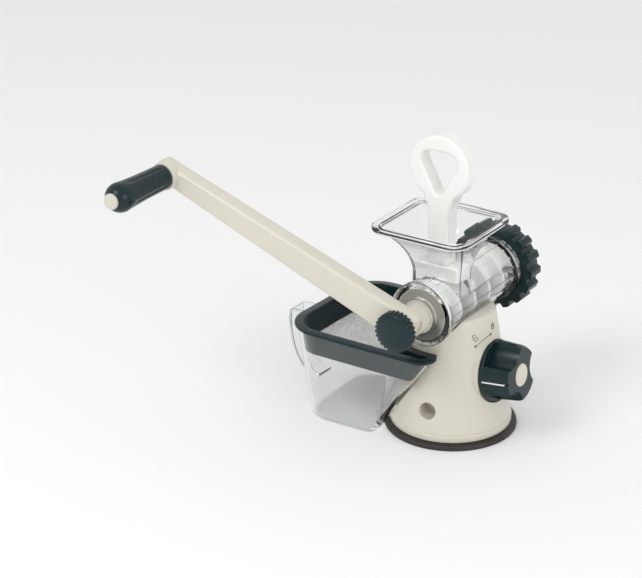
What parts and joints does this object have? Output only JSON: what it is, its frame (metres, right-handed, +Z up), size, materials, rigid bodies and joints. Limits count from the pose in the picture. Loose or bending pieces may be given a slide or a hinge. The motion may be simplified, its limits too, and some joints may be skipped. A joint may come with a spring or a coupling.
{
  "type": "hand crank meat grinder",
  "caption": "Hand crank meat grinder with a suction base, clear barrel and hopper, long crank, plunger, and a catching jug with a strainer.",
  "frame": {"origin": "middle of the rubber foot, on the table", "axes": "+Z up, +X along the barrel towards its outlet, +Y towards the jug; the lock knob faces -Y and the crank turns at the -X end"},
  "size_m": [0.2483, 0.3181, 0.269],
  "materials": {
    "cream_plastic": "smooth, semi-gloss",
    "green_plastic": "smooth, gloss",
    "clear_plastic": "transparent",
    "white_plastic": "smooth, semi-gloss",
    "rubber": "matte",
    "pale_silicone": "matte",
    "steel": "bright"
  },
  "bodies": {
    "base": {"base_housing": "cream_plastic", "base_plate": "green_plastic", "base_plate_screws": "steel", "suction_pad": "rubber", "pad_diaphragm": "rubber", "shaft_bracket": "green_plastic", "grinder_body": "clear_plastic", "body_screw": "steel", "auger_bush": "cream_plastic", "rear_seal": "pale_silicone"},
    "crank": {"crank_arm": "cream_plastic", "auger": "white_plastic", "knife": "steel", "grip_spindle": "steel", "spindle_screw": "steel"},
    "handle": {"grip": "green_plastic", "grip_cap": "cream_plastic"},
    "thumb_washer": {"thumb_washer": "steel"},
    "thumb_screw": {"thumb_screw": "green_plastic", "thumb_stud": "steel"},
    "plate": {"cutting_plate": "steel"},
    "nut": {"ring_nut": "green_plastic"},
    "knob": {"lock_knob": "green_plastic", "knob_screw": "steel", "knob_cap": "cream_plastic", "knob_pointer": "white_plastic", "cam_shaft": "white_plastic", "shaft_clip": "steel"},
    "lifter": {"lift_stud": "steel"},
    "plunger": {"plunger": "white_plastic"},
    "jug": {"jug": "clear_plastic"},
    "strainer": {"strainer_frame": "green_plastic", "strainer_mesh": "steel"}
  },
  "joints": [
    {"name": "crank_turn", "type": "hinge", "parent": "base", "child": "crank", "pos_m": [0, 0, 0.121], "axis": [-1, 0, 0], "continuous": true},
    {"name": "grip_spin", "type": "hinge", "parent": "crank", "child": "handle", "pos_m": [-0.12, 0.23492, 0.2065], "axis": [-1, 0, 0], "continuous": true},
    {"name": "thumb_slide", "type": "slide", "parent": "crank", "child": "thumb_washer", "axis": [-1, 0, 0], "range_m": [0, 0.011]},
    {"name": "thumb_turn", "type": "hinge", "parent": "thumb_washer", "child": "thumb_screw", "pos_m": [-0.09, 0, 0.121], "axis": [-1, 0, 0], "range_deg": [0, 1980]},
    {"name": "nut_slide", "type": "slide", "parent": "base", "child": "plate", "axis": [1, 0, 0], "range_m": [0, 0.015]},
    {"name": "nut_turn", "type": "hinge", "parent": "plate", "child": "nut", "pos_m": [0.075, 0, 0.121], "axis": [1, 0, 0], "range_deg": [0, 1080]},
    {"name": "knob_turn", "type": "hinge", "parent": "base", "child": "knob", "pos_m": [0, 0, 0.056], "axis": [0, 0.9962, -0.0872], "range_deg": [0, 90]},
    {"name": "pad_lift", "type": "slide", "parent": "base", "child": "lifter", "axis": [0, 0, 1], "range_m": [0, 0.003], "deforming": ["pad_diaphragm"]},
    {"name": "plunger_lift", "type": "slide", "parent": "base", "child": "plunger", "axis": [0, 0, 1], "range_m": [0, 0.13]},
    {"name": "jug_slide", "type": "slide", "parent": "base", "child": "jug", "axis": [0, 1, 0], "range_m": [0, 0.16]},
    {"name": "strainer_lift", "type": "slide", "parent": "jug", "child": "strainer", "axis": [0, 0, 1], "range_m": [0, 0.009]}
  ],
  "couplings": [
    {"joint": "thumb_slide", "follows": "thumb_turn", "m_per_rad": 0.0003183},
    {"joint": "nut_slide", "follows": "nut_turn", "m_per_rad": 0.0007957},
    {"joint": "pad_lift", "follows": "knob_turn", "m_per_rad": 0.0019098}
  ]
}
